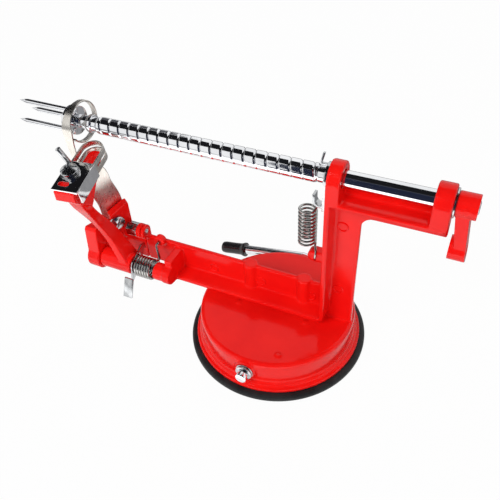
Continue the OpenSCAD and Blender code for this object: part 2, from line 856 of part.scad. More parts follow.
module peel_arm() {
    color(red) difference() {
        union() {
            link();
            at_seat() along_x(peel_x, peel_w) head_outline(0);
            at_seat() intersection() {
                along_x(peel_x, peel_w) head_outline(blade_reach);
                translate([0, 0, -clamp_len]) linear_extrude(clamp_len - finger_drop) finger_outline();
            }
            rod_x(hub_x, hub_w, arm_hub_r, pivot_y, pivot_z);
        }
        rod_x(hub_x - 1, hub_w + 2, pivot_r + run_gap, pivot_y, pivot_z);
        at_seat() translate([clamp_screw_x, clamp_screw_y, -7]) cylinder(h = 8, r = clamp_screw_r + 0.02);
    }
}

module bow_outline(r) {
    translate([blade_mid, blade_reach - bow_r]) circle(r = r);
    translate([blade_mid - r, -clamp_len + 1.5]) square([2 * r, blade_reach - bow_r + clamp_len - 1.5]);
}

module peel_blade() {
    color(steel) at_seat() difference() {
        translate([0, 0, -blade_h]) linear_extrude(blade_h - clamp_gap) difference() {
            bow_outline(bow_r);
            bow_outline(bow_r - blade_t);
            translate([leg_l - 1, -clamp_len]) square([2 * bow_r + 2, 2]);
        }
        translate([leg_l - 1, 3, mouth_z]) cube([2 * bow_r + 2, blade_reach, mouth_h]);
    }
}

module blade_clamp() {
    color(steel) at_seat() difference() {
        union() {
            translate([clamp_x0, -clamp_len, 0]) cube([clamp_x1 - clamp_x0, clamp_len, clamp_t]);
            translate([clamp_x1 - clamp_t, -clamp_len + 1, -flange_drop])
                cube([clamp_t, clamp_len - 1, flange_drop + 0.5]);
        }
        translate([clamp_screw_x, clamp_screw_y, -1]) cylinder(h = clamp_t + 2, r = clamp_screw_r + 0.1);
        for (side = [-1, 1]) translate([clamp_screw_x + side * clamp_slot_half, clamp_slot_y, -1])
            cylinder(h = clamp_t + 2, r = clamp_slot_r);
        translate([clamp_screw_x - clamp_slot_half, clamp_slot_y - clamp_slot_r, -1])
            cube([2 * clamp_slot_half, 2 * clamp_slot_r, clamp_t + 2]);
        translate([depth_foot[0], depth_foot[1], -1]) cylinder(h = clamp_t + 2, r = depth_r - 0.4 + 0.02);
    }
}

// A pan head with a slot, standing on z = 0, over a shank that reaches down to -depth
module pan_screw(head_r, head_h, shank_r, depth) {
    difference() {
        rotate_extrude() intersection() {
            translate([0, head_h - 2 * head_r]) circle(r = 2 * head_r, $fn = 96);
            square([head_r, head_h]);
        }
        translate([-head_r - 1, -0.5, head_h * 0.55]) cube([2 * head_r + 2, 1, head_h]);
    }
    translate([0, 0, -depth]) cylinder(h = depth + 0.5, r = shank_r);
}

module clamp_screw() {
    color(steel) at_seat() translate([clamp_screw_x, clamp_screw_y, clamp_t + clamp_washer_t])
        rotate(35) pan_screw(clamp_head_r, clamp_head_h, clamp_screw_r, clamp_t + clamp_washer_t + 6.5);
}

module clamp_washer() {
    color(steel) at_seat() translate([clamp_screw_x, clamp_screw_y, clamp_t]) difference() {
        cylinder(h = clamp_washer_t, r = clamp_washer_r);
        translate([0, 0, -1]) cylinder(h = clamp_washer_t + 2, r = clamp_screw_r + 0.1);
        translate([-20, clamp_slot_y - clamp_screw_y - 10, -1]) cube([40, 10 + clamp_slot_r + 1.6, 5]);
    }
}

module depth_rod() {
    color(chrome) at_seat() translate([depth_foot[0], depth_foot[1], 0]) {
        cylinder(h = clamp_t + 0.5, r = depth_r - 0.4);
        translate([0, 0, clamp_t + 0.4]) rotate([0, -depth_lean, 0]) cylinder(h = depth_len, r = depth_r);
    }
}

// Pivot

module pivot_pin() {
    color(chrome) difference() {
        rod_x(pin_left, pin_right - pin_left, pivot_r, pivot_y, pivot_z);
        difference() {
            rod_x(pin_clip_x - 0.1, pin_clip_t + 0.2, pivot_r + 1, pivot_y, pivot_z);
            rod_x(pin_clip_x - 1, pin_clip_t + 2, pivot_r - 0.5, pivot_y, pivot_z);
        }
    }
}

module pivot_clip() {
    clip_in = pivot_r - 0.45;
    color(steel) difference() {
        rod_x(pin_clip_x, pin_clip_t, pin_clip_r, pivot_y, pivot_z);
        rod_x(pin_clip_x - 1, pin_clip_t + 2, clip_in, pivot_y, pivot_z);
        translate([pin_clip_x - 1, pivot_y - clip_in * 0.8, pivot_z - pin_clip_r - 1])
            cube([pin_clip_t + 2, clip_in * 1.6, pin_clip_r + 1]);
    }
}

arm_mid_r = (arm_spring_od - arm_wire) / 2;
arm_pitch = (arm_spring_x1 - arm_spring_x0) / arm_coils;
arm_steps = 8;
leg_start = 0.25;

function arm_point(turn, x) =
    [x, pivot_y + arm_mid_r * cos(360 * turn), pivot_z + arm_mid_r * sin(360 * turn)];

// A straight end at the latch, the coils, then a leg that leaves the back of the coil upward to the boss
arm_leg_top = [leg_boss_x, web_y - leg_boss_out - pass_gap - arm_wire, leg_boss_z];
arm_path = concat(
    [arm_point(leg_start + 0.5, latch_x + latch_t + pass_gap),
     arm_point(leg_start + 0.5, latch_x + latch_t + pass_gap + arm_wire)],
    [for (i = [0 : round(arm_coils * arm_steps)])
        arm_point(leg_start + 0.5 + (i + 0.5) / arm_steps, arm_spring_x0 + arm_pitch * i / arm_steps)],
    [[arm_spring_x1 + 0.6, pivot_y + arm_mid_r - 0.2, pivot_z + 4.6],
     arm_leg_top + [-0.4, -0.6, -1.6],
     arm_leg_top + [0, 0.5, 0],
     arm_leg_top + [0, arm_wire + 0.4, 0]]);

module arm_spring() {
    color(steel) tube(arm_path, arm_wire / 2, spring_sides, [0, 1, 0.2]);
}

module latch_outline() {
    difference() {
        union() {
            translate([pivot_y, pivot_z]) circle(r = latch_hub_r);
            polygon([[pivot_y - 1, pivot_z + latch_hub_r - 0.4], [latch_hook[0] - 3, latch_hook[1] + 2],
                     [latch_hook[0], latch_hook[1] + 1], [latch_hook[0] + 0.6, latch_hook[1] - 3.4],
                     [latch_hook[0] - 1.6, latch_hook[1] - 2.2],
                     [pivot_y + latch_hub_r - 0.6, pivot_z - 1.4]]);
            polygon([[pivot_y - latch_hub_r + 0.5, pivot_z + 2], [latch_tail[0] - 0.5, latch_tail[1] + 1],
                     [latch_tail[0] + 0.5, latch_tail[1] - 1], [latch_tail[0] + 2, latch_tail[1]],
                     [pivot_y, pivot_z - latch_hub_r + 0.3]]);
        }
        translate([pivot_y, pivot_z]) circle(r = pivot_r + run_gap);
    }
}

// The thumb tab below the latch's tail, drawn in Y and Z
module latch_tab_outline() {
    low_y = latch_tail[0] - latch_tab_out;
    polygon([[latch_tail[0] - 0.5, latch_tail[1]], [low_y - 0.5, latch_tab_low],
             [low_y + 0.5, latch_tab_low], [latch_tail[0] + 0.5, latch_tail[1] - 0.2]]);
}

module latch_plate() {
    color(steel) {
        along_x(latch_x, latch_t) latch_outline();
        along_x(latch_x + latch_t - latch_tab_w, latch_tab_w) latch_tab_outline();
    }
}

// Slicer

module at_slicer_seat() {
    translate([seat_c[0], seat_c[1], 0]) rotate(seat_turn) children();
}

module seat_outline() {
    polygon([[-seat_half_w, holder_z1 - 4], [seat_half_w, holder_z1 - 4], [seat_half_w, seat_high],
             [seat_half_w - 2.6, seat_high], [-seat_half_w, seat_low]]);
}

module leg_outline() {
    difference() {
        union() {
            translate([pivot_y, pivot_z]) circle(r = leg_end_r);
            polygon([[pivot_y - leg_end_r + 2.4, pivot_z + 4.5], [leg_front + 1.6, leg_top - 1.5],
                     [leg_front + 3, leg_top], [web_y + holder_t, leg_top - 6],
                     [web_y + holder_t, holder_z0], [pivot_y + 6, pivot_z - 6]]);
        }
        translate([pivot_y - 20, 0]) square([40, leg_z0]);
    }
}

module slicer_holder() {
    color(red) difference() {
        union() {
            translate([leg_x, web_y, holder_z0])
                cube([ear_x + ear_w - leg_x, holder_t, holder_z1 - holder_z0]);
            along_x(ear_x, ear_w) lug_outline(holder_z0);
            along_x(leg_x, leg_w) leg_outline();
            at_slicer_seat() upright(seat_front, seat_t) seat_outline();
        }
        rod_x(leg_x - 1, leg_w + 2, pivot_r + run_gap, pivot_y, pivot_z);
        rod_x(ear_x - 1, ear_w + 2, bolt_r + 0.1, bolt_y, bolt_z);
        at_slicer_seat() rod_y(seat_front - 1, 1, slicer_screw_r + 0.02, slicer_screw_x, slicer_screw_z);
        at_slicer_seat() translate([slicer_screw_x - slot_w / 2, -slicer_t / 2 - pass_gap, strip_foot - 0.1])
            cube([slot_w, slicer_t + 2.5 * pass_gap, leg_top - strip_foot + 1.2]);
    }
}

// Corners of the strip's cross-section at route value u
function strip_ring(u) =
    let (c = route_value(strip_route, u, 0),
         a = route_value(strip_route, u, 1),
         w = route_value(strip_route, u, 2),
         step = 0.01,
         last = len(strip_route) - 1,
         t = unit(route_value(strip_route, min(u + step, last), 0)
                  - route_value(strip_route, max(u - step, 0), 0)),
         across = carry([cos(a), sin(a), 0], t),
         out = cross(t, across) * slicer_t / 2)
    [c - across * w / 2 - out, c + across * w / 2 - out,
     c + across * w / 2 + out, c - across * w / 2 + out];

// Width of the ring, which narrows from the strip over the first quarter turn
function roll_w(turned) = ring_w - (ring_w - ring_end_w) * min(1, turned / 90);

// The strip's end rolled up into the coring ring, a step at a time from its left side over the top
function rolled_ring(turned) =
    let (a = 180 - turned,
         out = [0, -cos(a), -sin(a)] * slicer_t / 2,
         half_w = roll_w(turned) / 2,
         mid_r = ring_r - slicer_t / 2,
         mid = [ring_x - half_w, mid_r * cos(a), axis_z + mid_r * sin(a)],
         across = [half_w, 0, 0])
    [mid - across - out, mid + across - out, mid + across + out, mid - across + out];

module strip() {
    steps = (len(strip_route) - 1) * strip_steps;
    rings = concat([for (i = [0 : steps]) strip_ring(i / strip_steps)],
                   [for (a = [roll_step : roll_step : roll_end]) rolled_ring(a)]);
    polyhedron([for (ring = rings, p = ring) p], skin_faces(len(rings), 4), convexity = 6);
}

module slicer_blade() {
    color(steel) difference() {
        strip();
        at_slicer_seat() rod_y(-3, 3, slicer_screw_r + 0.1, slicer_screw_x, slicer_screw_z);
    }
}

module slicer_screw() {
    color(steel) at_slicer_seat() translate([slicer_screw_x, seat_front - 0.02, slicer_screw_z])
        rotate([90, 0, 0]) rotate(60) pan_screw(slicer_head_r, slicer_head_h, slicer_screw_r, seat_t + 2.5);
}

module holder_bolt() {
    head_x = ear_x - bolt_washer_t - bolt_head_h;
    color(steel) {
        translate([head_x, bolt_y, bolt_z]) rotate([0, 90, 0])
            cylinder(h = bolt_head_h, r = bolt_head_r, $fn = 6);
        rod_x(head_x + 0.5, bolt_end - head_x - 0.5, bolt_r, bolt_y, bolt_z);
    }
}

module holder_washer() {
    color(steel) difference() {
        rod_x(ear_x - bolt_washer_t, bolt_washer_t, lug_r - 0.2, bolt_y, bolt_z);
        rod_x(ear_x - 3, 4, bolt_r + 0.1, bolt_y, bolt_z);
    }
}

echo(release_spring_gap = self_gap(spring_path, spring_wire / 2, spring_steps / 2));
echo(arm_spring_gap = self_gap(arm_path, arm_wire / 2, arm_steps / 2));

frame_casting();
suction_pad();
pad_stem();
lever_rod();
lever_grip();
rod_washer();
rod_clip();
feed_screw();
fork_plate();
fork_prongs();
crank_washer();
crank_arm();
crank_pin();
release_plate();
release_spring();
peel_arm();
pivot_pin();
pivot_clip();
arm_spring();
latch_plate();
peel_blade();
blade_clamp();
clamp_screw();
clamp_washer();
depth_rod();
slicer_holder();
slicer_blade();
slicer_screw();
holder_bolt();
holder_washer();
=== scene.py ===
"""Looks of the hand-cranked potato peeler, corer and spiral slicer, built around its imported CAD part."""

import json
import math

import bmesh
import bpy
import numpy as np
from mathutils import Matrix, Vector

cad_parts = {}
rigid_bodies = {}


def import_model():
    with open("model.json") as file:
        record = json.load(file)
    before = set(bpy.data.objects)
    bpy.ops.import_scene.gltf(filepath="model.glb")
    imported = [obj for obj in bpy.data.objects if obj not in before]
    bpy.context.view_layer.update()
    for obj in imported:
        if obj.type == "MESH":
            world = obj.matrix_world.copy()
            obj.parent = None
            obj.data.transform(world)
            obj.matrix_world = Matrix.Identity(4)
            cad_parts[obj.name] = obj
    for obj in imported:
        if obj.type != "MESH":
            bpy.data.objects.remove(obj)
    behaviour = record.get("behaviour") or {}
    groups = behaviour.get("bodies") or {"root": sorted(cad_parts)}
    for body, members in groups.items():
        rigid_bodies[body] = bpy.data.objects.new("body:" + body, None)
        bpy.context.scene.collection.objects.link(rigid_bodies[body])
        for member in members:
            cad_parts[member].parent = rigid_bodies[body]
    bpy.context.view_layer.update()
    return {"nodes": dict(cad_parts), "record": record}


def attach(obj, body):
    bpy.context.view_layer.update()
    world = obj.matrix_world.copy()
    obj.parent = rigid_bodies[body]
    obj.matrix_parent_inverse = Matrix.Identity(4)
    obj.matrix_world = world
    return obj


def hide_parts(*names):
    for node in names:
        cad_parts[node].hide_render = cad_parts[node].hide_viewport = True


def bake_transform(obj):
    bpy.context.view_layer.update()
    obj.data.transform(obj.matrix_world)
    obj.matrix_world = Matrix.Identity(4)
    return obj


for leftover in list(bpy.data.objects):
    bpy.data.objects.remove(leftover)
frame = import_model()

MM = 0.001
RECORD = frame["record"]
BODY = {n: b for b, members in RECORD["behaviour"]["bodies"].items() for n in members}
SLOT = {s["node"]: s["material_slot"] for s in RECORD["subparts"]}


# Materials

def node_maker(mat):
    nodes, links = mat.node_tree.nodes, mat.node_tree.links

    def make(kind, **inputs):
        node = nodes.new("ShaderNode" + kind)
        for key, value in inputs.items():
            socket = node.inputs[key.replace("_", " ")]
            if isinstance(value, bpy.types.NodeSocket):
                links.new(value, socket)
            else:
                socket.default_value = value
        return node

    return make


def finish(name, dark, light, rough, metallic=0.0, tone=60, grain=900, bump=0.05, depth=0.1,
           stretch=(1, 1, 1), specular=0.5):
    """A material whose colour drifts with one noise, and whose gloss and relief follow a finer one."""
    mat = bpy.data.materials.new(name)
    mat.use_nodes = True
    make = node_maker(mat)
    links = mat.node_tree.links
    shader = mat.node_tree.nodes["Principled BSDF"]
    shader.inputs["Metallic"].default_value = metallic
    shader.inputs["Specular IOR Level"].default_value = specular
    place = make("TexCoord").outputs["Object"]
    drift = make("TexNoise", Vector=place, Scale=tone, Detail=4.0)
    colour = make("ValToRGB", Fac=drift.outputs["Fac"])
    ends = colour.color_ramp.elements
    ends[0].position, ends[1].position = 0.35, 0.65
    ends[0].color, ends[1].color = (*dark, 1), (*light, 1)
    links.new(colour.outputs["Color"], shader.inputs["Base Color"])
    drawn = make("Mapping", Vector=place, Scale=stretch)
    fine = make("TexNoise", Vector=drawn.outputs["Vector"], Scale=grain, Detail=5.0)
    gloss = make("MapRange", Value=fine.outputs["Fac"], To_Min=rough[0], To_Max=rough[1])
    gloss.inputs["From Min"].default_value = 0.3
    gloss.inputs["From Max"].default_value = 0.7
    links.new(gloss.outputs["Result"], shader.inputs["Roughness"])
    relief = make("Bump", Height=fine.outputs["Fac"], Strength=bump, Distance=depth * MM)
    links.new(relief.outputs["Normal"], shader.inputs["Normal"])
    return mat


MATS = {
    "red_paint": finish("red_paint", (0.86, 0.006, 0.005), (0.94, 0.010, 0.007), (0.10, 0.17),
                        tone=45, grain=650, bump=0.05, depth=0.12, specular=0.2),
    "pad_rubber": finish("pad_rubber", (0.012, 0.012, 0.013), (0.024, 0.024, 0.025), (0.42, 0.6),
                         tone=120, grain=2600, bump=0.25, depth=0.12, specular=0.25),
    "black_vinyl": finish("black_vinyl", (0.010, 0.010, 0.011), (0.018, 0.018, 0.019), (0.16, 0.28),
                          tone=150, grain=1800, bump=0.12, depth=0.1),
    "chrome": finish("chrome", (0.78, 0.79, 0.81), (0.86, 0.87, 0.89), (0.06, 0.11), 1.0,
                     tone=70, grain=500, bump=0.012, depth=0.05),
    "zinc_steel": finish("zinc_steel", (0.44, 0.45, 0.46), (0.60, 0.61, 0.62), (0.14, 0.26), 1.0,
                         tone=220, grain=1500, bump=0.06, depth=0.06),
    "spring_steel": finish("spring_steel", (0.34, 0.335, 0.32), (0.48, 0.475, 0.46), (0.12, 0.24), 1.0,
                           tone=300, grain=2400, bump=0.08, depth=0.05, stretch=(1, 1, 0.3)),
    "blade_steel": finish("blade_steel", (0.60, 0.57, 0.52), (0.72, 0.69, 0.64), (0.24, 0.38), 1.0,
                          tone=90, grain=1400, bump=0.05, depth=0.05, stretch=(1, 1, 0.12)),
    "clamp_nickel": finish("clamp_nickel", (0.70, 0.70, 0.71), (0.82, 0.82, 0.83), (0.05, 0.11), 1.0,
                           tone=160, grain=900, bump=0.03, depth=0.05, stretch=(1, 0.3, 1)),
}


# Mesh tools, in millimetres

def mesh_object(name, verts, faces):
    mesh = bpy.data.meshes.new(name)
    mesh.from_pydata([Vector(v) * MM for v in verts], [], faces)
    mesh.validate()
    piece = bpy.data.objects.new(name, mesh)
    bpy.context.scene.collection.objects.link(piece)
    return piece


def set_out(piece, sharp):
    """Outward normals, smooth faces and sharp edges over an angle."""
    bm = bmesh.new()
    bm.from_mesh(piece.data)
    bmesh.ops.recalc_face_normals(bm, faces=bm.faces)
    bm.to_mesh(piece.data)
    bm.free()
    piece.data.polygons.foreach_set("use_smooth", [True] * len(piece.data.polygons))
    piece.data.set_sharp_from_angle(angle=math.radians(sharp))


def dress(piece, *nodes, sharp=40, across=None):
    """Gives a piece its nodes' finish and body, and hides the nodes."""
    set_out(piece, sharp)
    piece.data.materials.clear()
    piece.data.materials.append(MATS[SLOT[nodes[0]]])
    if across:
        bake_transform(piece)
    else:
        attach(piece, BODY[nodes[0]])
    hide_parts(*nodes)
    return piece


def loft(rings):
    """Closed rings of equal count joined into one skin with two caps."""
    count = len(rings[0])
    verts = [p for ring in rings for p in ring]
    faces = []
    for i in range(len(rings) - 1):
        for j in range(count):
            a, b = i * count + j, i * count + (j + 1) % count
            faces.append((a, b, b + count, a + count))
    last = (len(rings) - 1) * count
    faces.append(tuple(range(count)))
    faces.append(tuple(last + j for j in range(count)))
    return verts, faces


def joined(*parts):
    verts, faces = [], []
    for part_verts, part_faces in parts:
        start = len(verts)
        verts += list(part_verts)
        faces += [tuple(i + start for i in f) for f in part_faces]
    return verts, faces


def basis(axis):
    """Two directions square to an axis."""
    axis = Vector(axis).normalized()
    side = axis.orthogonal().normalized() if abs(axis.x) < 0.9 else Vector((0, 1, 0))
    side = (side - axis * side.dot(axis)).normalized()
    return axis, side, axis.cross(side)


def lathe(profile, origin, axis, sides=64):
    """A turned solid: (distance along the axis, radius) from one end to the other."""
    axis, u, v = basis(axis)
    origin = Vector(origin)
    rings = []
    for along, r in profile:
        rings.append([origin + axis * along + (u * math.cos(a) + v * math.sin(a)) * max(r, 0.004)
                      for a in (2 * math.pi * j / sides for j in range(sides))])
    return loft(rings)


def rounded(points, radius, steps=4):
    """An open outline whose inner corners become arcs of about the radius."""
    out = [tuple(points[0])]
    for before, here, after in zip(points, points[1:], points[2:]):
        here, before, after = Vector(here), Vector(before), Vector(after)
        back, ahead = before - here, after - here
        room = min(radius, back.length * 0.45, ahead.length * 0.45)
        start, end = here + back.normalized() * room, here + ahead.normalized() * room
        for i in range(steps + 1):
            t = i / steps
            out.append(tuple(start * (1 - t) ** 2 + here * 2 * t * (1 - t) + end * t * t))
    out.append(tuple(points[-1]))
    return out


def tube(path, r, sides=16):
    """A round wire along a path with rounded ends."""
    path = [Vector(p) for p in path]
    n = len(path)
    tangents = [(path[min(i + 1, n - 1)] - path[max(i - 1, 0)]).normalized() for i in range(n)]
    side = basis(tangents[0])[1]
    rings = []

    def ring(centre, t, radius):
        up = t.cross(side)
        rings.append([centre + (side * math.cos(a) + up * math.sin(a)) * radius
                      for a in (2 * math.pi * j / sides for j in range(sides))])

    dome = [(1.0, 0.12), (0.75, 0.66), (0.35, 0.94)]
    for i in range(n):
        side = (side - tangents[i] * side.dot(tangents[i])).normalized()
        if i == 0:
            for out, share in dome:
                ring(path[0] - tangents[0] * r * 0.6 * out, tangents[0], r * share)
        ring(path[i], tangents[i], r)
        if i == n - 1:
            for out, share in reversed(dome):
                ring(path[-1] + tangents[-1] * r * 0.6 * out, tangents[-1], r * share)
    return loft(rings)


def smooth_path(points, per=8):
    """A smooth curve through points."""
    points = [Vector(p) for p in points]
    ends = [points[0] * 2 - points[1]] + points + [points[-1] * 2 - points[-2]]
    out = []
    for p0, p1, p2, p3 in zip(ends, ends[1:], ends[2:], ends[3:]):
        for i in range(per):
            t = i / per
            out.append(0.5 * (2 * p1 + (p2 - p0) * t + (2 * p0 - 5 * p1 + 4 * p2 - p3) * t * t
                              + (3 * p1 - p0 - 3 * p2 + p3) * t ** 3))
    return out + [points[-1]]


FLAT_DEG, BEVEL_OVER_DEG, MERGE_DIST = 1, 30, 1e-6


def cad_solid(node):
    """A CAD node's mesh with its split points merged."""
    bm = bmesh.new()
    bm.from_mesh(frame["nodes"][node].data)
    bmesh.ops.remove_doubles(bm, verts=bm.verts, dist=MERGE_DIST)
    return bm


def plain_lists(bm):
    bm.verts.index_update()
    verts = [v.co / MM for v in bm.verts]
    faces = [tuple(v.index for v in f.verts) for f in bm.faces]
    bm.free()
    return verts, faces


def crisp(node, width, segments=2):
    """A CAD node with its edges rounded by a small bevel."""
    bm = cad_solid(node)
    bmesh.ops.dissolve_limit(bm, angle_limit=math.radians(FLAT_DEG), verts=bm.verts, edges=bm.edges)
    edges = [e for e in bm.edges
             if len(e.link_faces) == 2 and e.calc_face_angle(0) > math.radians(BEVEL_OVER_DEG)]
    bmesh.ops.bevel(bm, geom=edges, offset=width * MM, segments=segments, profile=0.5,
                    affect="EDGES", clamp_overlap=True)
    return dress(mesh_object(node + "_finished", *plain_lists(bm)), node)


def cast(node, voxel, passes, after=()):
    """A CAD node as a casting: soft round edges everywhere, from a fine remesh that is smoothed."""
    piece = mesh_object(node + "_cast", *plain_lists(cad_solid(node)))
    remesh = piece.modifiers.new("remesh", "REMESH")
    remesh.mode = "VOXEL"
    remesh.voxel_size = voxel * MM
    soften = piece.modifiers.new("soften", "SMOOTH")
    soften.factor = 0.5
    soften.iterations = passes
    bpy.context.view_layer.update()
    ready = piece.evaluated_get(bpy.context.evaluated_depsgraph_get())
    mesh = bpy.data.meshes.new_from_object(ready)
    piece.modifiers.clear()
    piece.data = mesh
    if after:
        bm = bmesh.new()
        bm.from_mesh(mesh)
        for verts, faces in after:
            made = [bm.verts.new(Vector(v) * MM) for v in verts]
            for f in faces:
                bm.faces.new([made[i] for i in f])
        bm.to_mesh(mesh)
        bm.free()
    return dress(piece, node, sharp=80)


def torus(centre, axis, ring_r, wire_r, sides=40, around=10):
    """A ring that stands half out of a face."""
    axis, u, v = basis(axis)
    verts, faces = [], []
    for i in range(sides):
        a = 2 * math.pi * i / sides
        out = u * math.cos(a) + v * math.sin(a)
        for j in range(around):
            b = 2 * math.pi * j / around
            reach = ring_r + wire_r * math.cos(b)
            verts.append(Vector(centre) + out * reach + axis * wire_r * math.sin(b))
    for i in range(sides):
        for j in range(around):
            k = (i + 1) % sides
            faces.append((i * around + j, k * around + j, k * around + (j + 1) % around,
                          i * around + (j + 1) % around))
    return verts, faces


# Shared sizes, as in the part's source

AXIS_Z = 117.3
PIVOT_Y, PIVOT_Z = -11.0, 32.8


# Casting, pad and suction lever

WEB_Y, MARK_R, MARK_WIRE = 2.2, 2.5, 0.4
EJECTOR_MARKS = [(-40.0, 34.5), (-10.5, 34.5), (19.0, 34.5), (33.6, 87.9), (33.6, 45.5)]
marks = [torus((x, WEB_Y - 0.1, z), (0, 1, 0), MARK_R, MARK_WIRE) for x, z in EJECTOR_MARKS]
cast("frame_casting", 0.5, 8, after=marks)

PAD_R, PAD_H = 50.0, 4.2
pad_profile = rounded([(0, 0.02), (0, PAD_R - 3), (0.9, PAD_R), (PAD_H - 1.0, PAD_R), (PAD_H, PAD_R - 1.4),
                       (PAD_H, 0.02)], 0.9)
dress(mesh_object("suction_pad_rubber", *lathe(pad_profile, (0, 0, 0), (0, 0, 1), 160)), "suction_pad")

crisp("pad_stem", 0.3)

ROD_R, ROD_Z, ROD_FRONT, NECK_HALF = 3.0, 16.2, -50.2, 2.5
LEVER_Y, LEVER_BEND, NECK_R = 47.9, 3.2, 1.9
LEVER_TIP = Vector((-57.5, LEVER_Y, 6.0))
CLIP_FAR, CLIP_NEAR, CLIP_R = -46.6, -45.6, 2.3
front_rod = rounded([(ROD_FRONT, 0.02), (ROD_FRONT, ROD_R), (CLIP_FAR, ROD_R), (CLIP_FAR, CLIP_R),
                     (CLIP_NEAR, CLIP_R), (CLIP_NEAR, ROD_R), (-NECK_HALF, ROD_R), (-NECK_HALF, 0.02)], 0.45)
lever_start = Vector((0, LEVER_Y, ROD_Z))
lever_way = (LEVER_TIP - lever_start).normalized()
bend = [lever_start + Vector((0, -LEVER_BEND, 0)), lever_start + lever_way * LEVER_BEND]
elbow = []
elbow_steps = 12
for i in range(elbow_steps + 1):
    t = i / elbow_steps
    elbow.append(bend[0] * (1 - t) ** 2 + lever_start * 2 * t * (1 - t) + bend[1] * t * t)
back_rod = [Vector((0, NECK_HALF, ROD_Z)), Vector((0, 20, ROD_Z)), Vector((0, 40, ROD_Z))] + elbow + [
    lever_start + lever_way * 20, lever_start + lever_way * 40, LEVER_TIP]
rod = joined(lathe(front_rod, (0, 0, ROD_Z), (0, 1, 0), 48), tube(back_rod, ROD_R, 48),
             lathe([(-NECK_HALF - 0.5, NECK_R), (NECK_HALF + 0.5, NECK_R)], (0, 0, ROD_Z - 1), (0, 1, 0), 32))
dress(mesh_object("lever_rod_bar", *rod), "lever_rod")

GRIP_R, GRIP_LEN = 3.8, 17.5
grip_end = LEVER_TIP + lever_way * 1.6
grip_profile = [(0, 3.05)] + rounded([(0, 3.2), (0, 4.6), (1.4, 4.6), (3.4, GRIP_R), (9, GRIP_R - 0.1),
                                      (GRIP_LEN - 2.4, GRIP_R), (GRIP_LEN, GRIP_R - 0.4),
                                      (GRIP_LEN, 0.02)], 1.2, 6)
dress(mesh_object("lever_grip_sleeve", *lathe(grip_profile, grip_end - lever_way * GRIP_LEN, lever_way, 48)),
      "lever_grip")
crisp("rod_washer", 0.2)
crisp("rod_clip", 0.2)


# Feed screw, fork and crank

THREAD_X0, THREAD_X1, LEAD, SCREW_R, GROOVE, GROOVE_SHARE = -96.4, 21.0, 5.7, 4.45, 0.5, 0.24
SCREW_SIDES, RINGS_PER_TURN = 64, 30
THREAD_ROOT, FADE_LEN, FADE_LEAST = 3.9, 1.2, 0.4
TAIL_R, TAIL_X0, TAIL_X1, RELIEF_R, SCREW_END = 3.97, 21.8, 81.35, 3.2, 90.5
FORK_SEAT_R, NECK_ROD_R, COLLAR_X0, COLLAR_X1, COLLAR_R = 2.5, 3.5, -102.4, -100.0, 4.6


def round_ring(x, radius_at):
    ring = []
    for j in range(SCREW_SIDES):
        a = 2 * math.pi * j / SCREW_SIDES
        r = radius_at(a)
        ring.append(Vector((x, r * math.cos(a), AXIS_Z + r * math.sin(a))))
    return ring


def thread_radius(x, a):
    share = (x / LEAD - a / (2 * math.pi)) % 1
    if share > GROOVE_SHARE:
        return SCREW_R
    return SCREW_R - GROOVE * (0.5 - 0.5 * math.cos(2 * math.pi * share / GROOVE_SHARE))


left_end = rounded([(-113.8, 0.02), (-113.8, FORK_SEAT_R), (-108.9, FORK_SEAT_R), (-108.9, NECK_ROD_R),
                    (COLLAR_X0, NECK_ROD_R), (COLLAR_X0, COLLAR_R), (COLLAR_X1, COLLAR_R),
                    (COLLAR_X1, NECK_ROD_R), (THREAD_X0 - 0.6, NECK_ROD_R), (THREAD_X0, 4.2)], 0.3)
right_end = rounded([(THREAD_X1 + 0.3, THREAD_ROOT), (THREAD_X1 + 0.5, RELIEF_R), (TAIL_X0, RELIEF_R),
                     (TAIL_X0, TAIL_R), (TAIL_X1, TAIL_R), (TAIL_X1, RELIEF_R), (SCREW_END - 0.5, RELIEF_R),
                     (SCREW_END, 2.4), (SCREW_END, 0.02)], 0.35)
screw_rings = [round_ring(x, lambda a, r=r: max(r, 0.004)) for x, r in left_end]
count = round((THREAD_X1 - THREAD_X0) / LEAD * RINGS_PER_TURN)
for i in range(count + 1):
    x = THREAD_X0 + (THREAD_X1 - THREAD_X0) * i / count
    fade = min(1.0, (x - THREAD_X0) / FADE_LEN + FADE_LEAST, (THREAD_X1 - x) / FADE_LEN + FADE_LEAST)
    screw_rings.append(round_ring(
        x, lambda a, x=x, f=fade: THREAD_ROOT + (thread_radius(x, a) - THREAD_ROOT) * f))
screw_rings += [round_ring(x, lambda a, r=r: max(r, 0.004)) for x, r in right_end]
dress(mesh_object("feed_screw_bar", *loft(screw_rings)), "feed_screw")

FORK_LEFT, FORK_X, FORK_R = -114.8, -109.8, 7.6
hub_profile = rounded([(FORK_LEFT, 0.02), (FORK_LEFT, FORK_R), (FORK_X, FORK_R), (FORK_X, 0.02)], 0.6)
dress(mesh_object("fork_hub", *lathe(hub_profile, (0, 0, AXIS_Z), (1, 0, 0), 96)), "fork_plate")

PRONG_TIP, PRONG_R, RIVET_R, RIVET_H = -146.0, 1.25, 1.9, 0.8
PRONG_CIRCLE, PRONG_TURN = 5.8, 97
prong_profile = rounded([(PRONG_TIP, 0.05), (PRONG_TIP + 5, PRONG_R), (FORK_X + 0.02, PRONG_R)], 1.2)[:-1]
prong_profile += [(FORK_X, PRONG_R), (FORK_X, RIVET_R)]
prong_profile += [(FORK_X + RIVET_H * math.sin(a), 0.3 + (RIVET_R - 0.3) * math.cos(a))
                  for a in (math.radians(d) for d in range(15, 91, 15))] + [(FORK_X + RIVET_H, 0.02)]
prongs = []
for k in range(3):
    a = math.radians(120 * k + PRONG_TURN)
    foot = (0, PRONG_CIRCLE * math.cos(a), AXIS_Z + PRONG_CIRCLE * math.sin(a))
    prongs.append(lathe(prong_profile, foot, (1, 0, 0), 32))
dress(mesh_object("fork_prong_set", *joined(*prongs)), "fork_prongs")

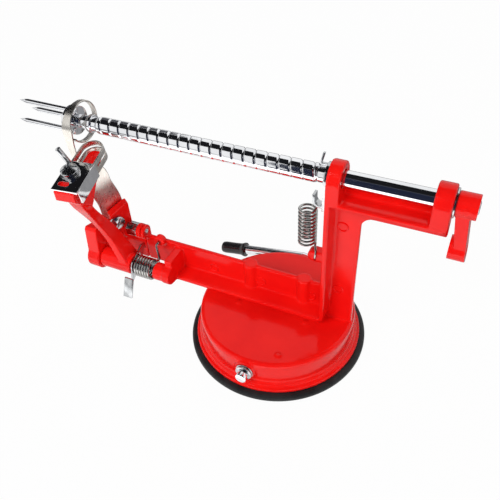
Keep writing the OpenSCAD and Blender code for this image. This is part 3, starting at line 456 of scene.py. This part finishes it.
crisp("crank_washer", 0.2)
PIN_X, CRANK_HUB_R = 85.7, 5.6
cap_profile = [(CRANK_HUB_R - 0.7, 1.9), (CRANK_HUB_R - 0.3, 1.9), (CRANK_HUB_R - 0.1, 1.7),
               (CRANK_HUB_R - 0.04, 0.9), (CRANK_HUB_R, 0.02)]
pin_caps = [lathe(cap_profile, (PIN_X, 0, AXIS_Z), (0, way, 0), 24) for way in (-1, 1)]
cast("crank_arm", 0.3, 5, after=pin_caps)
crisp("crank_pin", 0.3)


# Release plate and its spring

crisp("release_plate", 0.2)

SPRING_X, SPRING_Y, SPRING_R, SPRING_WIRE = 16.05, 2.0, 4.15, 0.6
SPRING_LOW, SPRING_HIGH, SPRING_END, COILS = 70.0, 97.4, 2.4, 10


def coil(turn, z):
    a = 2 * math.pi * turn
    return Vector((SPRING_X + SPRING_R * math.cos(a), SPRING_Y + SPRING_R * math.sin(a), z))


coil_steps = 36
low_z, high_z = SPRING_LOW + SPRING_END, SPRING_HIGH - SPRING_END
low_hook = [(21.4, 0.4, 64.2), (21.2, -0.9, 65.2), (21.5, -1.1, 67.6), (21.5, -0.3, 69.8)]
spring_path = smooth_path(low_hook + [coil(0.01, SPRING_LOW + 1.5), coil(0.05, low_z + 0.12)])
spring_path += [coil(i / coil_steps, low_z + (high_z - low_z) * i / coil_steps / COILS)
                for i in range(4, COILS * coil_steps - 2)]
spring_path += [coil(-0.01, SPRING_HIGH - 1.6), coil(0, SPRING_HIGH - 0.8), coil(0, SPRING_HIGH)]
spring = mesh_object("release_spring_wire", *tube(spring_path, SPRING_WIRE, 14))
dress(spring, "release_spring",
      across=("frame", "release", (SPRING_X * MM, SPRING_Y * MM, low_z * MM),
              (SPRING_X * MM, SPRING_Y * MM, high_z * MM)))


# Peel arm, its spring and the blade's clamp

cast("peel_arm", 0.35, 6)
crisp("pivot_pin", 0.25)
crisp("pivot_clip", 0.15)

ARM_R, ARM_X0, ARM_X1, ARM_COILS, ARM_WIRE = 5.65, -83.2, -72.05, 6.5, 0.72
LATCH_FACE = -84.3
LEG_BOSS_X, LEG_BOSS_Z, LEG_BOSS_OUT, PASS_GAP = -73.5, 45.4, 3, 0.3


def arm_point(turn, x):
    a = 2 * math.pi * turn
    return Vector((x, PIVOT_Y + ARM_R * math.cos(a), PIVOT_Z + ARM_R * math.sin(a)))


arm_steps = 36
leg_top = Vector((LEG_BOSS_X, WEB_Y - LEG_BOSS_OUT - PASS_GAP - 2 * ARM_WIRE, LEG_BOSS_Z))
arm_path = [arm_point(0.75, LATCH_FACE + 0.35), arm_point(0.765, LATCH_FACE + 0.6),
            arm_point(0.785, LATCH_FACE + 0.85)]
arm_path += [arm_point(0.8125 + i / arm_steps, ARM_X0 + (ARM_X1 - ARM_X0) * i / arm_steps / ARM_COILS)
             for i in range(round(ARM_COILS * arm_steps) - 3)]
arm_path += smooth_path([arm_path[-1], (ARM_X1 + 0.5, PIVOT_Y + ARM_R - 0.3, PIVOT_Z + 4.6),
                         leg_top + Vector((-0.4, -0.6, -1.6)), leg_top + Vector((0, 0.5, 0)),
                         leg_top + Vector((0, 2 * ARM_WIRE + 0.4, 0))])[1:]
dress(mesh_object("arm_spring_wire", *tube(arm_path, ARM_WIRE, 14)), "arm_spring")

crisp("latch_plate", 0.18)
crisp("peel_blade", 0.14)
crisp("blade_clamp", 0.28, 3)
crisp("clamp_screw", 0.25)
crisp("clamp_washer", 0.15)
crisp("depth_rod", 0.25)


# Slicer

cast("slicer_holder", 0.35, 6)

RING_R, RING_W, RING_X, RING_END_W, STRIP_T, STRIP_EASE = 11.0, 6.0, -106.2, 3.0, 0.8, 0.22
RING_STEP, RING_SPAN = 4, 330
RING_MID = RING_X - RING_W / 2
STRIP_X, STRIP_W = RING_MID - 2, 4.6
FOOT_X, FOOT_Y = -105.285, 2.664
# Each station of the strip: its middle, its turn about Z in degrees and its width
ROUTE = [((FOOT_X, FOOT_Y, 48.5), 53, 12.5), ((FOOT_X, FOOT_Y, 63.6), 53, 13.8),
         ((-105.4, -1.9, 78), 50, 13.8), ((-106.5, -3.4, 88), 38, 12.6),
         ((STRIP_X, -7, AXIS_Z - 21.8), 8, STRIP_W),
         ((STRIP_X, -8.8, AXIS_Z - 12), 2, STRIP_W), ((RING_MID, STRIP_T / 2 - RING_R, AXIS_Z), 0, RING_W)]
route_values = np.array([[*c, a, w] for c, a, w in ROUTE])


def route_at(u):
    i = min(int(u), len(ROUTE) - 2)
    t = u - i
    p0, p1, p2, p3 = (route_values[min(max(i + k, 0), len(ROUTE) - 1)] for k in (-1, 0, 1, 2))
    return 0.5 * (2 * p1 + (p2 - p0) * t + (2 * p0 - 5 * p1 + 4 * p2 - p3) * t * t
                  + (3 * p1 - p0 - 3 * p2 + p3) * t ** 3)


def strip_section(mid, across, out, w):
    """Eight corners of a thin strip with eased edges."""
    half, thick, ease = w / 2, STRIP_T / 2, STRIP_EASE
    flat = [(-half, -thick / 2), (-half + ease, -thick), (half - ease, -thick), (half, -thick / 2),
            (half, thick / 2), (half - ease, thick), (-half + ease, thick), (-half, thick / 2)]
    return [mid + across * a + out * b for a, b in flat]


strip_rings = []
per_station, last = 14, len(ROUTE) - 1
for i in range(last * per_station + 1):
    u = i / per_station
    x, y, z, turn, w = route_at(u)
    ahead, behind = route_at(min(u + 0.01, last)), route_at(max(u - 0.01, 0))
    t = Vector(ahead[:3] - behind[:3]).normalized()
    across = Vector((math.cos(math.radians(turn)), math.sin(math.radians(turn)), 0))
    across = (across - t * across.dot(t)).normalized()
    strip_rings.append(strip_section(Vector((x, y, z)), across, t.cross(across), w))
for turned in range(RING_STEP, RING_SPAN + 1, RING_STEP):
    a = math.radians(180 - turned)
    w = RING_W - (RING_W - RING_END_W) * min(1, turned / 90)
    mid_r = RING_R - STRIP_T / 2
    mid = Vector((RING_X - w / 2, mid_r * math.cos(a), AXIS_Z + mid_r * math.sin(a)))
    strip_rings.append(strip_section(mid, Vector((1, 0, 0)), Vector((0, -math.cos(a), -math.sin(a))), w))
dress(mesh_object("slicer_blade_strip", *loft(strip_rings)), "slicer_blade")

crisp("slicer_screw", 0.25)
crisp("holder_bolt", 0.3)
crisp("holder_washer", 0.2)


# Floor, reflected cards, light and camera

def plain_mesh(name, corners):
    return mesh_object(name, [Vector(c) / MM for c in corners], [tuple(range(len(corners)))])


def camera_white(make, links):
    """One for camera, mirror and glass rays, which see plain white, and nought for the rest."""
    path = make("LightPath")
    seen = make("Math")
    seen.operation = "MAXIMUM"
    links.new(path.outputs["Is Camera Ray"], seen.inputs[0])
    links.new(path.outputs["Is Glossy Ray"], seen.inputs[1])
    both = make("Math")
    both.operation = "MAXIMUM"
    links.new(seen.outputs[0], both.inputs[0])
    links.new(path.outputs["Is Transmission Ray"], both.inputs[1])
    return both.outputs[0]


FLOOR_WHITE, AMBIENT = 0.965, 0.33
floor = plain_mesh("floor", [(-6, -6, 0), (6, -6, 0), (6, 6, 0), (-6, 6, 0)])
floor_mat = bpy.data.materials.new("floor_paper")
floor_mat.use_nodes = True
make = node_maker(floor_mat)
links = floor_mat.node_tree.links
paper = floor_mat.node_tree.nodes["Principled BSDF"]
paper.inputs["Roughness"].default_value = 0.9
paper.inputs["Specular IOR Level"].default_value = 0.0
fibre = make("TexNoise", Vector=make("TexCoord").outputs["Object"], Scale=40.0)
paper_tone = make("ValToRGB", Fac=fibre.outputs["Fac"])
paper_tone.color_ramp.elements[0].color = (0.80, 0.80, 0.80, 1)
paper_tone.color_ramp.elements[1].color = (0.86, 0.86, 0.86, 1)
links.new(paper_tone.outputs["Color"], paper.inputs["Base Color"])
glow = make("Emission", Strength=1.0)
seen = camera_white(make, links)
share = make("Math")
share.operation = "MULTIPLY"
links.new(seen, share.inputs[0])
share.inputs[1].default_value = FLOOR_WHITE
mixed = make("MixShader", Fac=share.outputs[0])
links.new(paper.outputs["BSDF"], mixed.inputs[1])
links.new(glow.outputs["Emission"], mixed.inputs[2])
links.new(mixed.outputs["Shader"], floor_mat.node_tree.nodes["Material Output"].inputs["Surface"])
floor.data.materials.append(floor_mat)

world = bpy.data.worlds.new("studio")
bpy.context.scene.world = world
world.use_nodes = True
make = node_maker(world)
links = world.node_tree.links
ambient = world.node_tree.nodes["Background"]
ambient.inputs["Color"].default_value = (1, 1, 1, 1)
ambient.inputs["Strength"].default_value = AMBIENT
backdrop = make("Background", Strength=1.0)
backdrop.inputs["Color"].default_value = (1, 1, 1, 1)
mixed = make("MixShader", Fac=camera_white(make, links))
links.new(ambient.outputs["Background"], mixed.inputs[1])
links.new(backdrop.outputs["Background"], mixed.inputs[2])
links.new(mixed.outputs["Shader"], world.node_tree.nodes["World Output"].inputs["Surface"])


def card(name, corners, colour):
    """A card that only mirrors see, as the dark and bright parts of a studio."""
    piece = plain_mesh(name, corners)
    mat = bpy.data.materials.new(name)
    mat.use_nodes = True
    make = node_maker(mat)
    tone = make("TexNoise", Vector=make("TexCoord").outputs["Object"], Scale=2.0)
    shade = make("ValToRGB", Fac=tone.outputs["Fac"])
    shade.color_ramp.elements[0].color = (*(c * 0.8 for c in colour), 1)
    shade.color_ramp.elements[1].color = (*colour, 1)
    glow = make("Emission", Color=shade.outputs["Color"], Strength=1.0)
    surface = mat.node_tree.nodes["Material Output"].inputs["Surface"]
    mat.node_tree.links.new(glow.outputs["Emission"], surface)
    piece.data.materials.append(mat)
    piece.visible_camera = False
    piece.visible_diffuse = False
    piece.visible_shadow = False
    piece.visible_transmission = False


CEILING, FRONT, FRONT_TOP, LEFT = 1.1, -0.8, 0.945, -2.0
ON_FLOOR = 0.001
BLUE_DARK = (0.02, 0.025, 0.05)


def floor_card(name, outline, colour):
    card(name, [(x, y, ON_FLOOR) for x, y in outline], colour)


card("ceiling_card", [(x, y, CEILING) for x, y in [(LEFT, -0.73), (2, -0.73), (2, 0.42), (-0.3, 0.42),
                                                   (-1.1, 0.66), (LEFT, 0.66)]], (0.012, 0.012, 0.014))
card("front_card", [(-0.243, FRONT, 0.0), (2, FRONT, 0.0), (2, FRONT, FRONT_TOP), (-0.385, FRONT, FRONT_TOP)],
     BLUE_DARK)
floor_card("far_floor_card", [(-0.2, FRONT), (2, FRONT), (2, -0.23), (-0.12, -0.23)], BLUE_DARK)
floor_card("left_floor_card", [(LEFT, FRONT), (-0.29, FRONT), (-0.29, -0.06), (LEFT, -0.06)],
           (0.30, 0.30, 0.31))
card("left_card", [(LEFT, 1.18, 0.21), (LEFT, 3.9, 0.69), (LEFT, 2.0, 3.46), (LEFT, 0.6, 1.04)],
     (0.10, 0.10, 0.11))
floor_card("near_floor_card", [(-0.28, -0.22), (0.8, -0.22), (0.8, -0.06), (-0.28, -0.06)], (2.0, 2.0, 2.0))
card("upper_front_card", [(-0.385, -0.73, CEILING), (2, -0.73, CEILING), (2, FRONT, FRONT_TOP),
                          (-0.385, FRONT, FRONT_TOP)], (0.06, 0.065, 0.08))
floor_card("back_floor_card", [(-3, 0.07), (3, 0.07), (3, 3), (-3, 3)], (0.35, 0.35, 0.36))


def soft_lamp(name, place, aim, size, watts):
    lamp = bpy.data.lights.new(name, "AREA")
    lamp.shape = "DISK"
    lamp.size = size
    lamp.energy = watts
    holder = bpy.data.objects.new(name, lamp)
    bpy.context.scene.collection.objects.link(holder)
    holder.location = place
    holder.rotation_euler = (Vector(aim) - Vector(place)).to_track_quat("-Z", "Y").to_euler()
    holder.visible_glossy = False
    holder.visible_camera = False


AIM = (0, 0, 0.07)
soft_lamp("key", (-0.4, -1.1, 1.1), AIM, 0.7, 12)
soft_lamp("fill", (0.8, -1.0, 0.6), AIM, 1.0, 5)
soft_lamp("rear", (0.2, 1.0, 1.0), AIM, 1.0, 3)

FOCAL_PX, FRAME_PX, SENSOR = 594.596, 500.0, 36.0
CAM_AT = Vector((90.211, -207.84, 271.667)) * MM
CAM_RIGHT = Vector((0.90891, 0.41453, -0.04523))
CAM_UP = Vector((-0.25007, 0.62866, 0.73637))
CAM_BACK = Vector((0.33369, -0.65799, 0.67506))
lens = bpy.data.cameras.new("camera")
lens.sensor_width = SENSOR
lens.sensor_height = SENSOR
lens.sensor_fit = "HORIZONTAL"
lens.lens = FOCAL_PX / FRAME_PX * SENSOR
lens.clip_start = 0.01
camera = bpy.data.objects.new("camera", lens)
bpy.context.scene.collection.objects.link(camera)
turn = Matrix((CAM_RIGHT, CAM_UP, CAM_BACK)).transposed().to_4x4()
camera.matrix_world = Matrix.Translation(CAM_AT) @ turn
bpy.context.scene.camera = camera
bpy.context.scene.view_settings.view_transform = "Standard"
